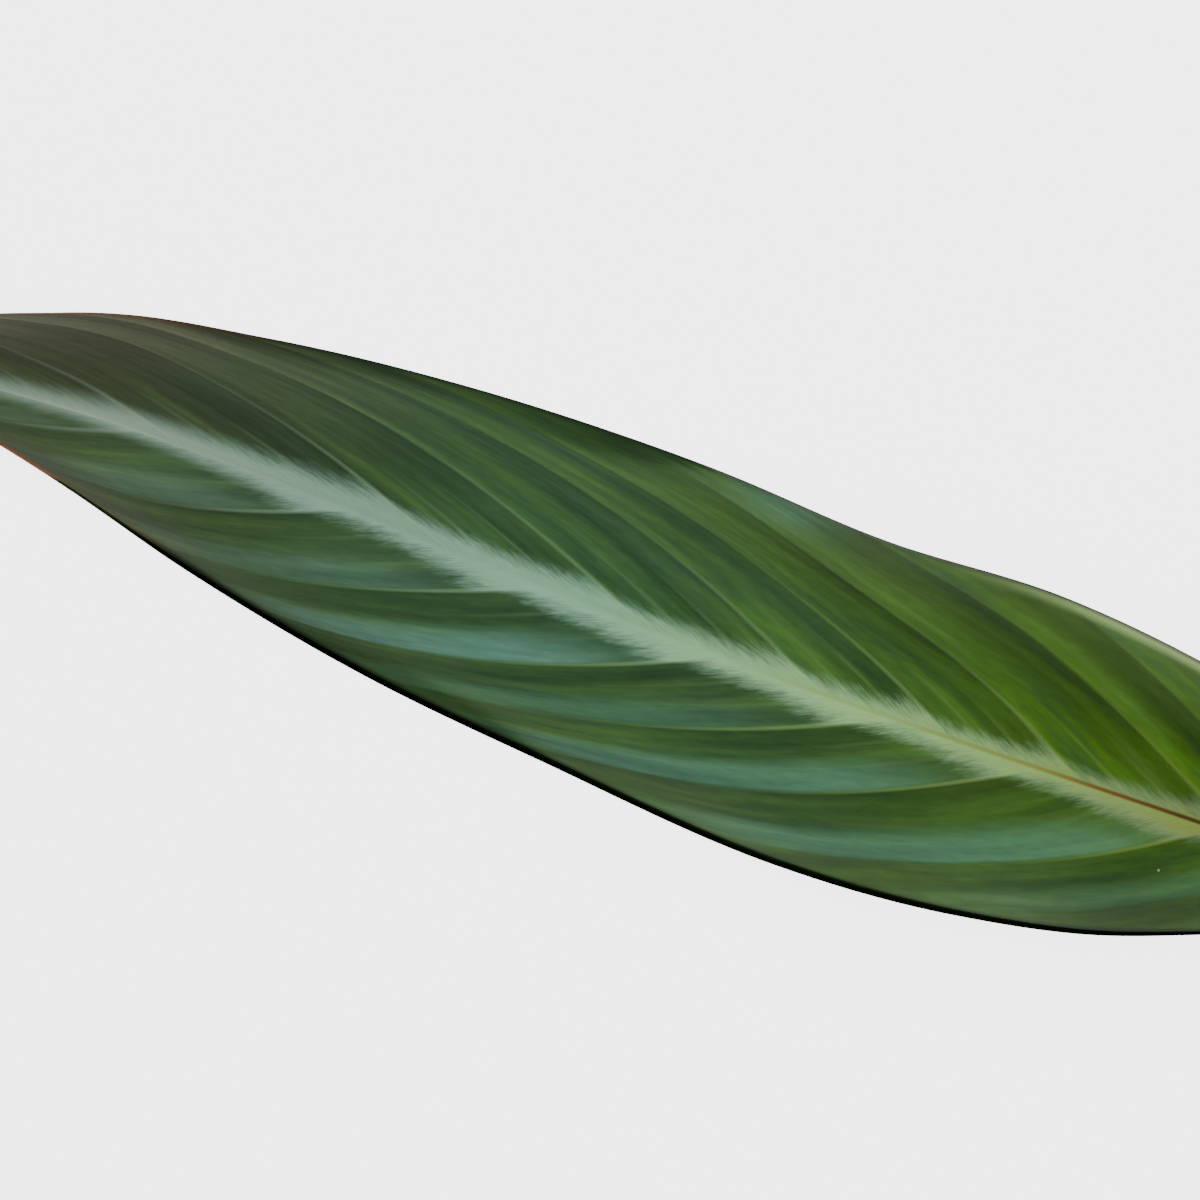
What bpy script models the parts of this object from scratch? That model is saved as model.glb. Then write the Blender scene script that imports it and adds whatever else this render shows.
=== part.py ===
# A single stromanthe leaf, picked with a short stalk and lying face up.
# The blade, the midrib, the side veins, the pulvinus and the stalk grew as one body, so they are one solid.
# Lengths named ..._MM are millimetres; the finished object is in metres, +Z up.
# The leaf lies along X, with its tip at -X and the cut end of its stalk at +X.
import math

import bmesh
import bpy
import numpy as np

# Driving sizes
BLADE_LENGTH_MM = 345.0
STALK_LENGTH_MM = 72.0
BLADE_THICKNESS_MM = 0.6
STALK_RADIUS_MM = 1.7
PULVINUS_LENGTH_MM = 13.0
PULVINUS_RADIUS_MM = 2.2
MIDRIB_DEPTH_MM = 3.1
MIDRIB_HALF_WIDTH_MM = 1.6
MIDRIB_TAPER = 0.82
MIDRIB_TAPER_POWER = 0.8

# Stations are measured along the midrib from the base of the blade (0) to its tip, negative on the stalk.
# The midrib's sideways drift, and the height of its upper side above the surface that the leaf lies on
MIDRIB_DRIFT_MM = [
    (-72, 2.2), (0, 0.7), (65, 0.3), (110, -0.6), (150, -1.1), (190, -0.5),
    (230, 0.8), (270, 1.8), (294, 1.7), (315, 0.4), (345, -1.9),
]
MIDRIB_HEIGHT_MM = [
    (-72, 3.35), (-58, 3.4), (-30, 4.8), (0, 7.8), (50, 11.8), (100, 13.2),
    (150, 10.2), (210, 4.6), (265, 4.6), (315, 4.9), (345, 5.2),
]

# From the midrib to the margin: near the tip, one half of the blade is broad and the other slim.
# The broad half lies towards +Y.
BROAD_WIDTH_MM = [
    (0, 2.0), (20, 12.0), (50, 24.2), (80, 30.8), (105, 33.4), (140, 32.7), (180, 34.4),
    (230, 31.6), (270, 26.2), (310, 18.2), (335, 8.4), (345, 1.0),
]
SLIM_WIDTH_MM = [
    (0, 2.0), (20, 7.6), (50, 17.9), (80, 28.4), (105, 32.9), (140, 35.0), (190, 32.1),
    (230, 29.2), (270, 22.5), (310, 11.2), (335, 3.9), (345, 1.0),
]

# Side veins: where one leaves the midrib, where it reaches the margin, and how late it bends towards the tip
BROAD_VEINS = [
    (0, 0, 0.35), (16, 50, 0.35), (40, 108, 0.35), (58, 147, 0.35),
    (91, 200, 0.45), (118, 248, 0.55), (144, 280, 0.50), (180, 313, 0.35),
    (223, 333, 0.20), (278, 341, -0.30), (318, 343.6, -0.20), (345, 345, 0.0),
]
SLIM_VEINS = [
    (0, 0, 0.50), (12, 38, 0.55), (37, 103, 0.60), (63, 160, 0.60),
    (99, 204, 0.40), (129, 232, 0.25), (165, 261, 0.30), (202, 284, 0.15),
    (244, 309, 0.10), (288, 327, -0.20), (322, 338, -0.20), (345, 345, 0.0),
]

# Relief: each half rises from the midrib, arches and rolls down at its margin, and is pleated at its veins.
# Where the margins settle on the surface, whatever comes nearer to it than SETTLED_MM lies flat on it.
ARCH_MM = 4.0
DROOP_MM = 7.5
DROOP_POWER = 2.6
FULL_WIDTH_MM = 34.0
PLEAT_MM = 1.0
VEIN_RIDGE_MM = 0.3
VEIN_HALF_WIDTH_MM = 0.9
MARGIN_WAVE_MM = 1.0
MARGIN_WAVE_LENGTH_MM = 62.0
BROAD_WAVE_START_MM = 33.0
SLIM_WAVE_START_MM = 48.0
SETTLED_MM = 0.08

# Fineness of the mesh: rows follow the veins, and columns run from margin to margin.
# ROW_RUNS holds (from, to, step) for the rows between the veins.
ROW_RUNS = [(0, 24, 2.6), (24, 120, 4.6), (120, 345, 6.4)]
STALK_ROW_STEP_MM = 6.0
PULVINUS_ROW_STEP_MM = 2.6
LEAST_ROW_GAP_MM = 2.2
HALF_COLUMNS = 10
MARGIN_EASE = 0.85
RIB_COLUMNS = (0.0, 0.6, 1.0)
WIDEST_RIB_SHARE = 0.55
STALK_HALF_TURN = math.radians(84.0)

METRES = 0.001


def through(table, at):
    """Read a smooth curve through a table of (place, value) at any places."""
    places, values = np.array(table, dtype=float).T
    slopes = np.gradient(values, places)
    at = np.clip(at, places[0], places[-1])
    first = np.clip(np.searchsorted(places, at, side="right") - 1, 0, len(places) - 2)
    gap = places[first + 1] - places[first]
    t = (at - places[first]) / gap
    from_values = values[first] * (1 + 2 * t) * (1 - t) ** 2 + values[first + 1] * t * t * (3 - 2 * t)
    from_slopes = slopes[first] * t * (1 - t) ** 2 - slopes[first + 1] * t * t * (1 - t)
    return from_values + gap * from_slopes


class Half:
    """One half of the blade: its width, its veins and its margin's wave."""

    def __init__(self, side, widths, veins, wave_start):
        self.side = side
        self.widths = widths
        self.ends = [(start, end) for start, end, bend in veins]
        self.bends = [(start, bend) for start, end, bend in veins]
        self.starts = np.array([start for start, end, bend in veins], dtype=float)
        self.wave_start = wave_start

    def stations(self, start, t):
        """Station of the points at fractions t of the way out along the vein that leaves at start."""
        bend = through(self.bends, start)
        return start + (through(self.ends, start) - start) * ((1 - bend) * t + bend * t**3)

    def across(self, stations, t):
        """Distance from the midrib, signed to this half's side."""
        return self.side * t * through(self.widths, stations)

    def pleat(self, start, t):
        """A sharp crest at each vein and a soft trough halfway to the next, level at midrib and margin."""
        vein = np.clip(np.searchsorted(self.starts, start, side="right") - 1, 0, len(self.starts) - 2)
        phase = (start - self.starts[vein]) / (self.starts[vein + 1] - self.starts[vein])
        crest = 0.5 - abs(math.sin(math.pi * phase))
        return PLEAT_MM * crest * np.sin(math.pi * t**0.8) ** 0.7

    def ridge(self, start, t):
        """Narrow raised line of the vein itself."""
        nearest = np.abs(self.starts[1:-1] - start).min()
        return VEIN_RIDGE_MM * max(0.0, 1 - nearest / VEIN_HALF_WIDTH_MM) * np.sin(math.pi * t**0.6)

    def relief(self, start, stations, t):
        """Height above the midrib."""
        fullness = through(self.widths, stations) / FULL_WIDTH_MM
        arch = ARCH_MM * fullness * np.sin(math.pi * t)
        droop = DROOP_MM * fullness * t**DROOP_POWER
        turn = 2 * math.pi * (stations - self.wave_start) / MARGIN_WAVE_LENGTH_MM
        wave = MARGIN_WAVE_MM * fullness * np.sin(turn) * t**3
        return arch - droop + wave + (self.pleat(start, t) + self.ridge(start, t)) * fullness


BROAD = Half(1, BROAD_WIDTH_MM, BROAD_VEINS, BROAD_WAVE_START_MM)
SLIM = Half(-1, SLIM_WIDTH_MM, SLIM_VEINS, SLIM_WAVE_START_MM)


def blade_starts():
    """Where the blade's rows leave the midrib: three close rows at each vein and others evenly between."""
    kept = set()
    for half in (BROAD, SLIM):
        for vein in half.starts[1:-1]:
            kept.update((vein - VEIN_HALF_WIDTH_MM, vein, vein + VEIN_HALF_WIDTH_MM))
    veins = sorted(kept)
    starts = [veins[0]]
    for row in veins[1:]:
        if row - starts[-1] > VEIN_HALF_WIDTH_MM / 2:
            starts.append(row)
    fillers = [row for low, high, step in ROW_RUNS for row in np.arange(low, high, step)] + [BLADE_LENGTH_MM]
    starts += [row for row in fillers if np.abs(np.array(veins) - row).min() > LEAST_ROW_GAP_MM]
    return sorted(starts)


def stalk_starts():
    """Rows of the stalk and the pulvinus, closer where the pulvinus swells."""
    stalk = np.arange(-STALK_LENGTH_MM, -PULVINUS_LENGTH_MM - STALK_ROW_STEP_MM / 2, STALK_ROW_STEP_MM)
    pulvinus = np.arange(-PULVINUS_LENGTH_MM, -PULVINUS_ROW_STEP_MM / 2, PULVINUS_ROW_STEP_MM)
    return list(stalk) + list(pulvinus)


def rib_taper(station):
    """How much of its size at the base of the blade the midrib still has."""
    return 1 - MIDRIB_TAPER * (station / BLADE_LENGTH_MM) ** MIDRIB_TAPER_POWER


def keel(offsets, station):
    """Depth of the midrib below the blade, round on the underside."""
    across = np.clip(np.abs(offsets) / (MIDRIB_HALF_WIDTH_MM * rib_taper(station)), 0, 1)
    return MIDRIB_DEPTH_MM * rib_taper(station) * np.sqrt(1 - across**2)


def column_fractions(start):
    """Fractions from the midrib to the margin: three columns shape the midrib and the rest spread out."""
    half_width = float(through(BROAD_WIDTH_MM, start))
    rib = min(WIDEST_RIB_SHARE, MIDRIB_HALF_WIDTH_MM * rib_taper(start) / half_width)
    near = rib * np.array(RIB_COLUMNS)
    beyond = np.linspace(0, 1, HALF_COLUMNS - len(RIB_COLUMNS) + 2)[1:]
    return np.concatenate([near, rib + (1 - rib) * beyond**MARGIN_EASE])


def blade_row(start):
    """Mid-surface points of one row, from the slim half's margin over the midrib to the broad half's."""
    t = column_fractions(start)
    points = []
    for half in (SLIM, BROAD):
        stations = half.stations(start, t)
        across = through(MIDRIB_DRIFT_MM, stations) + half.across(stations, t)
        rib_height = through(MIDRIB_HEIGHT_MM, stations) - BLADE_THICKNESS_MM / 2
        height = np.maximum(rib_height + half.relief(start, stations, t), BLADE_THICKNESS_MM / 2)
        points.append(np.stack([stations, across, height], axis=1))
    slim, broad = points
    depths = keel(np.concatenate([-t[:0:-1], t]) * float(through(BROAD_WIDTH_MM, start)), start)
    return np.concatenate([slim[:0:-1], broad]), depths


def stalk_row(station):
    """Upper and lower points of one round row of the stalk."""
    half_length = PULVINUS_LENGTH_MM / 2
    swell = math.exp(-(((station + half_length) / half_length) ** 4))
    radius = STALK_RADIUS_MM + (PULVINUS_RADIUS_MM - STALK_RADIUS_MM) * swell
    turn = np.linspace(-STALK_HALF_TURN, STALK_HALF_TURN, 2 * HALF_COLUMNS + 1)
    across = float(through(MIDRIB_DRIFT_MM, station)) + radius * np.sin(turn)
    height = float(through(MIDRIB_HEIGHT_MM, station)) - STALK_RADIUS_MM
    stations = np.full_like(turn, station)
    upper = np.stack([stations, across, height + radius * np.cos(turn)], axis=1)
    lower = np.stack([stations, across, height - radius * np.cos(turn)], axis=1)
    return upper, lower


def leaf_skins():
    """Upper and lower skins of the whole leaf as rows of points, with the surface it lies on at height 0."""
    rows = [blade_row(start) for start in blade_starts()]
    middle = np.array([points for points, depths in rows])
    depths = np.array([depths for points, depths in rows])
    along_rows = np.gradient(middle, axis=1)
    along_leaf = np.gradient(middle, axis=0)
    normals = np.cross(along_leaf, along_rows)
    normals /= np.linalg.norm(normals, axis=2, keepdims=True)
    upper = middle + normals * BLADE_THICKNESS_MM / 2
    lower = middle - normals * BLADE_THICKNESS_MM / 2
    lower[:, :, 2] -= depths
    stalk = [stalk_row(station) for station in stalk_starts()]
    upper = np.concatenate([np.array([top for top, bottom in stalk]), upper])
    lower = np.concatenate([np.array([bottom for top, bottom in stalk]), lower])
    lower[:, :, 2] = np.where(lower[:, :, 2] < SETTLED_MM, 0.0, lower[:, :, 2])
    upper[:, :, 2] = np.maximum(upper[:, :, 2], lower[:, :, 2] + BLADE_THICKNESS_MM)
    return upper, lower


def leaf_mesh():
    """A grid, triangulated and extruded once to give it an underside, takes the form of the two skins."""
    upper, lower = leaf_skins()
    rows, columns = upper.shape[:2]
    bm = bmesh.new()
    bmesh.ops.create_grid(bm, x_segments=rows - 1, y_segments=columns - 1, size=1.0)
    bmesh.ops.triangulate(bm, faces=bm.faces[:], quad_method="ALTERNATE")
    extruded = bmesh.ops.extrude_face_region(bm, geom=bm.faces[:])
    below = {item for item in extruded["geom"] if isinstance(item, bmesh.types.BMVert)}
    for vert in bm.verts:
        row = round((vert.co.x + 1) / 2 * (rows - 1))
        column = round((vert.co.y + 1) / 2 * (columns - 1))
        skin = lower if vert in below else upper
        station, across, height = skin[row, column]
        vert.co = (-station * METRES, across * METRES, height * METRES)
    bmesh.ops.triangulate(bm, faces=[face for face in bm.faces if len(face.verts) > 3])
    bmesh.ops.recalc_face_normals(bm, faces=bm.faces[:])
    stand_at_bottom_centre(bm)
    mesh = bpy.data.meshes.new("leaf")
    bm.to_mesh(mesh)
    bm.free()
    mesh.shade_smooth()
    mesh.set_sharp_from_angle(angle=math.radians(60))
    return mesh


def stand_at_bottom_centre(bm):
    """Move the leaf so that the middle of the box round it, at its foot, is the origin."""
    places = np.array([vert.co for vert in bm.verts])
    low = places.min(axis=0)
    high = places.max(axis=0)
    centre = ((low[0] + high[0]) / 2, (low[1] + high[1]) / 2, low[2])
    for vert in bm.verts:
        vert.co.x -= centre[0]
        vert.co.y -= centre[1]
        vert.co.z -= centre[2]


def leaf_material():
    """Deep green blade with a waxy, half-gloss skin."""
    material = bpy.data.materials.new("leaf_green")
    material.use_nodes = True
    shader = material.node_tree.nodes["Principled BSDF"]
    shader.inputs["Base Color"].default_value = (0.070, 0.120, 0.040, 1.0)
    shader.inputs["Roughness"].default_value = 0.45
    shader.inputs["Metallic"].default_value = 0.0
    material.diffuse_color = (0.070, 0.120, 0.040, 1.0)
    return material


def main():
    for item in list(bpy.data.objects):
        bpy.data.objects.remove(item)
    collection = bpy.data.collections.new("stromanthe_leaf")
    bpy.context.scene.collection.children.link(collection)
    leaf = bpy.data.objects.new("leaf", leaf_mesh())
    leaf.data.materials.append(leaf_material())
    collection.objects.link(leaf)


main()
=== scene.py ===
# %% [markdown]
# # A stromanthe leaf, picked and laid face up
# A stromanthe is a rainforest floor plant of the arrowroot family. Its leaf is long and thin, dark green
# above with a pale feather along the midrib, and wine red below. This lesson dresses the plain leaf of the
# construction model: it gives the blade its fine veins, its thin edge and its colours, and it gives the
# stalk, the swollen joint and the midrib under the blade a surface of their own.

# %% Load the plain leaf
import math

import bpy
import numpy as np
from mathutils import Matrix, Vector


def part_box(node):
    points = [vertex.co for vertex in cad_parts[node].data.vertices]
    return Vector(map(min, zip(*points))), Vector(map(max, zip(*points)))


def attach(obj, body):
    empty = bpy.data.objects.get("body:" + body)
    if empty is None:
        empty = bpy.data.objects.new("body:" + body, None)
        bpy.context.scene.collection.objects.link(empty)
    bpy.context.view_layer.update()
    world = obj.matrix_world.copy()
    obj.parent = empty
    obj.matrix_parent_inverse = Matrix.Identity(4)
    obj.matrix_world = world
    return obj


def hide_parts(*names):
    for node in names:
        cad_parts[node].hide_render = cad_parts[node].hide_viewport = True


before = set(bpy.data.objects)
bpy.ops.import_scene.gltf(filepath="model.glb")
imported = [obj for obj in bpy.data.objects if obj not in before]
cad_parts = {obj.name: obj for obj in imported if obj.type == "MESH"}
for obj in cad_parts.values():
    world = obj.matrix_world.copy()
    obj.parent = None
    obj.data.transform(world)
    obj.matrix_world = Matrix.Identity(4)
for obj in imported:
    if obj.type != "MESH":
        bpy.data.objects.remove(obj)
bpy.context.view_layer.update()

MM = 0.001
low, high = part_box("leaf")
print("leaf box in mm:", [round(size / MM, 1) for size in high - low])

# %% [markdown]
# ## The plan of the leaf
# Everything on a leaf is laid out from its midrib. A place on the blade has a station, which is how far it
# is from the base of the blade along the midrib, and a fraction of the way out from the midrib to the
# margin. The widths, the height of the midrib above the table and the places of the side veins are read
# from short tables by one smooth curve, so a few measured sizes give the whole outline.

# %% Sizes of the leaf in millimetres
BLADE_LENGTH = 345.0
STALK_LENGTH = 72.0
STALK_RADIUS = 1.7
PULVINUS_LENGTH = 13.0
PULVINUS_RADIUS = 2.2
MIDRIB_RADIUS = 1.6
MIDRIB_DEPTH = 3.1
BLADE_THICKNESS = 0.32
LOWEST_SKIN = 0.04

# Each row is a station and a size there, and stations below 0 are on the stalk
MIDRIB_DRIFT = [
    (-72, 2.2), (0, 0.7), (65, 0.3), (110, -0.6), (150, -1.1), (190, -0.5),
    (230, 0.8), (270, 1.8), (294, 1.7), (315, 0.4), (345, -1.9),
]
MIDRIB_HEIGHT = [
    (-72, 3.35), (-58, 3.4), (-30, 4.8), (0, 7.8), (50, 11.8), (100, 13.2),
    (150, 10.2), (210, 4.6), (265, 4.6), (315, 4.9), (345, 5.2),
]
BROAD_WIDTH = [
    (0, 2.0), (20, 12.0), (50, 24.2), (80, 30.8), (105, 33.4), (140, 32.7), (180, 34.4),
    (230, 31.6), (270, 26.2), (310, 18.2), (335, 8.4), (345, 1.0),
]
SLIM_WIDTH = [
    (0, 2.0), (20, 7.6), (50, 17.9), (80, 28.4), (105, 32.9), (140, 35.0), (190, 32.1),
    (230, 29.2), (270, 22.5), (310, 11.2), (335, 3.9), (345, 1.0),
]


def through(table, at):
    """Read a smooth curve through a table of (place, value) at any places."""
    places, values = np.array(table, dtype=float).T
    slopes = np.gradient(values, places)
    at = np.clip(at, places[0], places[-1])
    first = np.clip(np.searchsorted(places, at, side="right") - 1, 0, len(places) - 2)
    gap = places[first + 1] - places[first]
    t = (at - places[first]) / gap
    from_values = values[first] * (1 + 2 * t) * (1 - t) ** 2 + values[first + 1] * t * t * (3 - 2 * t)
    from_slopes = slopes[first] * t * (1 - t) ** 2 - slopes[first + 1] * t * t * (1 - t)
    return from_values + gap * from_slopes


print("wide at 180 mm:", round(float(through(BROAD_WIDTH, 180.0) + through(SLIM_WIDTH, 180.0)), 1), "mm")

# %% [markdown]
# ## The side veins
# A side vein leaves the midrib at a slant, runs out in a bow and then creeps along the margin towards the
# tip. Veins of the two halves take turns. Each is written as where it leaves the midrib, where it meets the
# margin and how late it bends. All the finer veins between two of them follow curves of the same family, so
# the grid of the blade is laid along these curves: a row of the grid is one fine vein.

# %% Courses of the side veins
BROAD_VEINS = [
    (0, 0, 0.35), (16, 50, 0.35), (40, 108, 0.35), (58, 147, 0.35),
    (91, 200, 0.45), (118, 248, 0.55), (144, 280, 0.50), (180, 313, 0.35),
    (223, 333, 0.20), (278, 341, -0.30), (318, 343.6, -0.20), (345, 345, 0.0),
]
SLIM_VEINS = [
    (0, 0, 0.50), (12, 38, 0.55), (37, 103, 0.60), (63, 160, 0.60),
    (99, 204, 0.40), (129, 232, 0.25), (165, 261, 0.30), (202, 284, 0.15),
    (244, 309, 0.10), (288, 327, -0.20), (322, 338, -0.20), (345, 345, 0.0),
]


def vein_roots(veins):
    """Stations where the veins of one half leave the midrib."""
    return np.array([row[0] for row in veins], dtype=float)


def vein_stations(veins, start, t):
    """Stations of points at fractions t of the way out along the vein that leaves the midrib at start."""
    end = through([(row[0], row[1]) for row in veins], start)
    bend = through([(row[0], row[2]) for row in veins], start)
    return start + (end - start) * ((1 - bend) * t + bend * t**3)


def vein_phase(veins, start):
    """Number of the vein before start, plus the share of the way to the next one."""
    roots = vein_roots(veins)
    return np.interp(start, roots, np.arange(len(roots)))


def to_nearest(veins, start):
    """Distance along the midrib from start to the nearest main vein of one half."""
    return np.abs(start[..., None] - vein_roots(veins)[1:-1]).min(axis=-1)


# The first and the last row of each table are the ends of the blade and no veins
print(len(BROAD_VEINS) + len(SLIM_VEINS) - 4, "main side veins")

# %% [markdown]
# ## The relief of the blade
# Seen across, each half rises from the midrib, arches and rolls down to its margin, and where the margins
# would sink into the table they lie flat on it instead. Between two side veins the blade hangs like the
# cloth of a tent, with a crest at each vein, and the margin waves slowly. The plain leaf has the same plan,
# arch, droop and waves, but it is twice as thick and its pleats and crests are taller. Here they are as low
# as the soft shading of a living leaf asks for, and the thin blade stays within the plain leaf's outline.

# %% Height of the blade
# The arch and the droop of a half that is as wide as this
FULL_WIDTH = 34.0
ARCH = 4.0
DROOP = 7.5
DROOP_POWER = 2.6

# Pleats and the crests on them, with a lean below 1 where they stand highest nearer to the midrib
PLEAT = 0.55
PLEAT_LEAN = 0.8
PLEAT_FULLNESS = 0.7
VEIN_RIDGE = 0.09
RIDGE_LEAN = 0.6
VEIN_HALF_WIDTH = 0.55

# Waves that grow towards the margin, and how softly the margin settles on the table
MARGIN_WAVE = 1.0
WAVE_POWER = 3
WAVE_LENGTH = 62.0
SETTLING = 0.5

# The soft valley and the groove over the midrib, and the dip where the blade meets the stalk
VALLEY_EASE = 0.07
GROOVE = 0.15
GROOVE_HALF_WIDTH = 1.1
TUCK = 0.8
TUCK_LENGTH = 3.0


def bell(values, middle, half_width):
    """1 at the middle, and smoothly less to both sides."""
    return np.exp(-(((values - middle) / half_width) ** 2))


def pleat(phase, t):
    """Crests at whole phases, soft troughs between them."""
    return PLEAT * (0.5 - np.abs(np.sin(math.pi * phase))) * np.sin(math.pi * t**PLEAT_LEAN) ** PLEAT_FULLNESS


def blade_height(veins, widths, wave_start, start, stations, t):
    """Height of the upper skin above the table, in millimetres."""
    fullness = through(widths, stations) / FULL_WIDTH
    ridge = VEIN_RIDGE * bell(to_nearest(veins, start), 0, VEIN_HALF_WIDTH) * np.sin(math.pi * t**RIDGE_LEAN)
    wave = MARGIN_WAVE * np.sin(2 * math.pi * (stations - wave_start) / WAVE_LENGTH) * t**WAVE_POWER
    eased = np.sqrt(t**2 + VALLEY_EASE**2) - VALLEY_EASE * (1 - t)
    arch = ARCH * np.sin(math.pi * eased) - DROOP * t**DROOP_POWER
    shape = arch + wave + pleat(vein_phase(veins, start), t) + ridge
    groove = GROOVE * bell(t * through(widths, stations), 0, GROOVE_HALF_WIDTH)
    tuck = TUCK * bell(stations, 0, TUCK_LENGTH)
    free = through(MIDRIB_HEIGHT, stations) - BLADE_THICKNESS / 2 + fullness * shape - groove - tuck
    least = BLADE_THICKNESS + LOWEST_SKIN
    return (free + least + np.sqrt((free - least) ** 2 + SETTLING**2)) / 2


print("the crests of main veins stand up to", round(PLEAT + VEIN_RIDGE, 2), "mm above the troughs")

# %% [markdown]
# ## The blade
# A leaf blade is a sheet about a third of a millimetre thick. It could be cut from a plane and bent with
# modifiers, but its veins would then not follow the grid. Here a grid primitive is added and each of its
# points is moved to its place on the plan, so the rows are veins and the columns run from base to tip. The
# rows are shared out so that every main vein has a row of its own and its crest stays sharp, and the last
# few millimetres of the tip are rounded in to a point.

# %% Share out rows and columns
ROW_STEP = 0.84
RIB_COLUMNS = 9
RIB_SHARE = 0.075
BLADE_COLUMNS = 41
COLUMN_EASE = 0.92

vein_starts = sorted({row[0] for row in BROAD_VEINS + SLIM_VEINS})
runs = [
    np.linspace(a, b, math.ceil((b - a) / ROW_STEP), endpoint=False)
    for a, b in zip(vein_starts, vein_starts[1:])
]
row_starts = np.concatenate(runs + [[BLADE_LENGTH]])
rib_columns = np.linspace(0, RIB_SHARE, RIB_COLUMNS, endpoint=False)
far_columns = RIB_SHARE + (1 - RIB_SHARE) * np.linspace(0, 1, BLADE_COLUMNS + 1) ** COLUMN_EASE
half_fractions = np.concatenate([rib_columns, far_columns])
column_fractions = np.concatenate([-half_fractions[:0:-1], half_fractions])
print(len(row_starts), "rows and", len(column_fractions), "columns")

# %% Add the grid
bpy.ops.object.select_all(action="DESELECT")
bpy.ops.mesh.primitive_grid_add(
    x_subdivisions=len(row_starts) - 1, y_subdivisions=len(column_fractions) - 1, size=2.0
)
blade = bpy.context.object
blade.name = "leaf_blade"
print("grid points:", len(blade.data.vertices))

# %% Work out the place of every point
BROAD_WAVE_START = 33.0
SLIM_WAVE_START = 48.0
TIP_ROUNDING = 5.0
TIP_CLOSED = 0.995

start_grid, signed_fraction = np.meshgrid(row_starts, column_fractions, indexing="ij")
fraction = np.abs(signed_fraction)
broad = signed_fraction >= 0


def choose(for_broad, for_slim):
    """Take the broad half's values on the broad side and the slim half's on the other."""
    return np.where(broad, for_broad, for_slim)


station_grid = choose(
    vein_stations(BROAD_VEINS, start_grid, fraction), vein_stations(SLIM_VEINS, start_grid, fraction)
)
width_grid = choose(through(BROAD_WIDTH, station_grid), through(SLIM_WIDTH, station_grid))
into_tip = np.clip((station_grid - BLADE_LENGTH + TIP_ROUNDING) / TIP_ROUNDING, 0, TIP_CLOSED)
width_grid *= np.sqrt(1 - into_tip**2)
across_grid = signed_fraction * width_grid
height_grid = choose(
    blade_height(BROAD_VEINS, BROAD_WIDTH, BROAD_WAVE_START, start_grid, station_grid, fraction),
    blade_height(SLIM_VEINS, SLIM_WIDTH, SLIM_WAVE_START, start_grid, station_grid, fraction),
)
plan_grid = through(MIDRIB_DRIFT, station_grid) + across_grid
middle_line = (plan_grid.max() + plan_grid.min()) / 2
cut_end = high.x / MM
print("middle of the blade lies", round(float(middle_line), 2), "mm to the side of the plan's zero line")


def place(stations, across, height):
    """Turn plan sizes in millimetres into places in metres, on the plain leaf."""
    x = cut_end - STALK_LENGTH - np.asarray(stations)
    y = np.asarray(across) - middle_line
    return np.stack([x, y, np.asarray(height)], axis=-1) * MM


# %% Move the grid's points
def grid_index(mesh):
    """Row and column of each point of a grid primitive of size 2."""
    spots = np.empty(len(mesh.vertices) * 3)
    mesh.vertices.foreach_get("co", spots)
    spots = (spots.reshape(-1, 3) + 1) / 2
    rows = np.rint(spots[:, 0] * (len(row_starts) - 1)).astype(int)
    columns = np.rint(spots[:, 1] * (len(column_fractions) - 1)).astype(int)
    return rows, columns


rows, columns = grid_index(blade.data)
blade_places = place(station_grid, plan_grid, height_grid)
blade.data.vertices.foreach_set("co", blade_places[rows, columns].ravel())
blade.data.update()
print("blade is", [round(float(s), 1) for s in np.ptp(blade_places.reshape(-1, 3), axis=0) / MM], "mm")

# %% Turn the skin face up and smooth it
bpy.ops.object.mode_set(mode="EDIT")
bpy.ops.mesh.select_all(action="SELECT")
bpy.ops.mesh.flip_normals()
bpy.ops.object.mode_set(mode="OBJECT")
bpy.ops.object.shade_smooth()
middle_face = blade.data.polygons[len(blade.data.polygons) // 2]
print("a face in the middle points to z =", round(middle_face.normal.z, 2))

# %% [markdown]
# ## What the colours follow
# The markings of a leaf follow its veins: the pale feather runs out along the fine veins, and the dark and
# light bands lie beside the main ones. A picture laid over the leaf could not be drawn any finer than its
# dots, so each point of the blade is given a few numbers instead: how far it is from the midrib, from the
# margin and from the nearest main vein, and how much of each tint it has. Shader nodes then add the grain.

# %% Distances in millimetres
steps_out = np.linalg.norm(np.diff(blade_places, axis=1), axis=2) / MM
reach = np.cumsum(np.pad(steps_out, ((0, 0), (1, 0))), axis=1)
along_vein = np.abs(reach - reach[:, [len(half_fractions) - 1]])

# The gap between two rows is measured square to the veins, for each millimetre of midrib
down_vein = np.gradient(blade_places, axis=1)
down_vein /= np.linalg.norm(down_vein, axis=2, keepdims=True)
between_rows = np.gradient(blade_places, axis=0) / np.gradient(start_grid, axis=0)[..., None]
row_gap = np.linalg.norm(np.cross(between_rows, down_vein), axis=2) / MM

to_vein = choose(to_nearest(BROAD_VEINS, start_grid), to_nearest(SLIM_VEINS, start_grid)) * row_gap
from_midrib = np.abs(across_grid)
to_margin = (1 - fraction) * width_grid


def span(values):
    """Lowest and highest value, as words for the printed notes."""
    return f"{float(np.min(values)):.2f} to {float(np.max(values)):.2f}"


print("longest vein:", round(float(along_vein.max())), "mm")
print("a millimetre of midrib spreads to", span(row_gap), "mm between the veins")


# %% Where the pale feather ends
def rise(values, start, end):
    """0 at start, 1 at end, and smooth between; start may be the larger."""
    t = np.clip((values - start) / (end - start), 0, 1)
    return t * t * (3 - 2 * t)


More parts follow.
